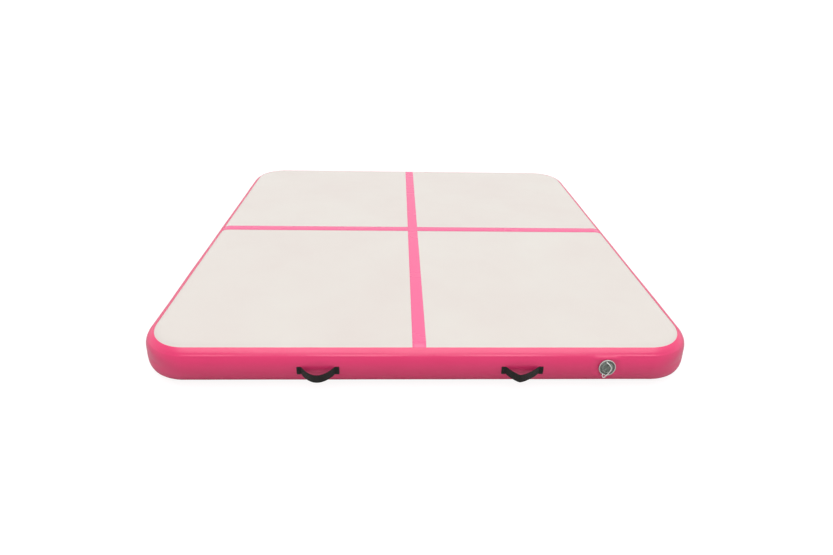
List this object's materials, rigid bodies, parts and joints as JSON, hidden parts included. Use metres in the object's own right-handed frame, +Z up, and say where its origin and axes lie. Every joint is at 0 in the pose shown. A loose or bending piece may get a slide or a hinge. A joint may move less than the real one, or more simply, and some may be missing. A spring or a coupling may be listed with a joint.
{
  "type": "air track mat",
  "caption": "Square inflatable air track mat with a pink side band and tape cross, webbing carry handles and a capped inflation valve.",
  "frame": {"origin": "centre of the underside, on the floor", "axes": "+Z up, -Y towards the front edge, which holds the valve and a pair of handles, and +X to the right seen from the front"},
  "size_m": [2, 2.0806, 0.1508],
  "materials": {
    "top_fabric": "satin",
    "bottom_fabric": "satin",
    "side_band": "gloss",
    "inner_fabric": "matte",
    "stripe_tape": "satin",
    "drop_yarn": "matte",
    "valve_plastic": "satin",
    "cap_plastic": "satin",
    "inner_plastic": "satin",
    "seal_rubber": "matte",
    "leash_plastic": "gloss",
    "spring_steel": "polished",
    "webbing": "matte"
  },
  "bodies": {
    "mat": {"top_sheet": "top_fabric", "bottom_sheet": "bottom_fabric", "side_wall_outer": "side_band", "side_wall_inner": "inner_fabric", "seam_tape_top": "inner_fabric", "seam_tape_bottom": "inner_fabric", "stripe_long": "stripe_tape", "stripe_cross_left": "stripe_tape", "stripe_cross_right": "stripe_tape", "drop_stitch_row_1": "drop_yarn", "drop_stitch_row_2": "drop_yarn", "drop_stitch_row_3": "drop_yarn", "drop_stitch_row_4": "drop_yarn", "drop_stitch_row_5": "drop_yarn", "drop_stitch_row_6": "drop_yarn", "drop_stitch_row_7": "drop_yarn", "drop_stitch_row_8": "drop_yarn", "valve_housing": "valve_plastic", "valve_gasket": "seal_rubber", "valve_nut": "inner_plastic", "plunger_spring": "spring_steel", "cap_leash": "leash_plastic", "front_left_strap_end_a": "webbing", "front_left_strap_end_b": "webbing", "front_right_strap_end_a": "webbing", "front_right_strap_end_b": "webbing", "rear_left_strap_end_a": "webbing", "rear_left_strap_end_b": "webbing", "rear_right_strap_end_a": "webbing", "rear_right_strap_end_b": "webbing"},
    "cap_tether": {"leash_ring": "leash_plastic"},
    "cap": {"valve_cap": "cap_plastic", "cap_seal": "seal_rubber"},
    "plunger_seat": {"spring_retainer": "spring_steel"},
    "plunger": {"valve_plunger": "inner_plastic", "plunger_seal": "seal_rubber", "plunger_button": "inner_plastic"},
    "front_left_handle": {"front_left_strap_loop": "webbing"},
    "front_right_handle": {"front_right_strap_loop": "webbing"},
    "rear_left_handle": {"rear_left_strap_loop": "webbing"},
    "rear_right_handle": {"rear_right_strap_loop": "webbing"}
  },
  "joints": [
    {"name": "cap_pull", "type": "slide", "parent": "mat", "child": "cap_tether", "axis": [0, -0.9848, 0.1736], "range_m": [0, 0.03], "deforming": ["cap_leash"]},
    {"name": "cap_turn", "type": "hinge", "parent": "cap_tether", "child": "cap", "pos_m": [0.649, -0.99441, 0.0875], "axis": [0, -0.9848, 0.1736], "range_deg": [0, 90]},
    {"name": "plunger_press", "type": "slide", "parent": "mat", "child": "plunger_seat", "axis": [0, 0.9848, -0.1736], "range_m": [0, 0.005], "stiffness_N_per_m": 600, "springref_m": -0.003, "deforming": ["plunger_spring"]},
    {"name": "plunger_turn", "type": "hinge", "parent": "plunger_seat", "child": "plunger", "pos_m": [0.649, -0.99441, 0.0875], "axis": [0, 0.9848, -0.1736], "range_deg": [0, 90]},
    {"name": "front_left_lift", "type": "hinge", "parent": "mat", "child": "front_left_handle", "pos_m": [-0.352, -1.0013, 0.079], "axis": [-1, 0, 0], "range_deg": [-45, 60], "stiffness_Nm_per_rad": 0.06},
    {"name": "front_right_lift", "type": "hinge", "parent": "mat", "child": "front_right_handle", "pos_m": [0.352, -1.0013, 0.079], "axis": [-1, 0, 0], "range_deg": [-45, 60], "stiffness_Nm_per_rad": 0.06},
    {"name": "rear_left_lift", "type": "hinge", "parent": "mat", "child": "rear_left_handle", "pos_m": [-0.352, 1.0013, 0.079], "axis": [1, 0, 0], "range_deg": [-45, 60], "stiffness_Nm_per_rad": 0.06},
    {"name": "rear_right_lift", "type": "hinge", "parent": "mat", "child": "rear_right_handle", "pos_m": [0.352, 1.0013, 0.079], "axis": [1, 0, 0], "range_deg": [-45, 60], "stiffness_Nm_per_rad": 0.06}
  ]
}
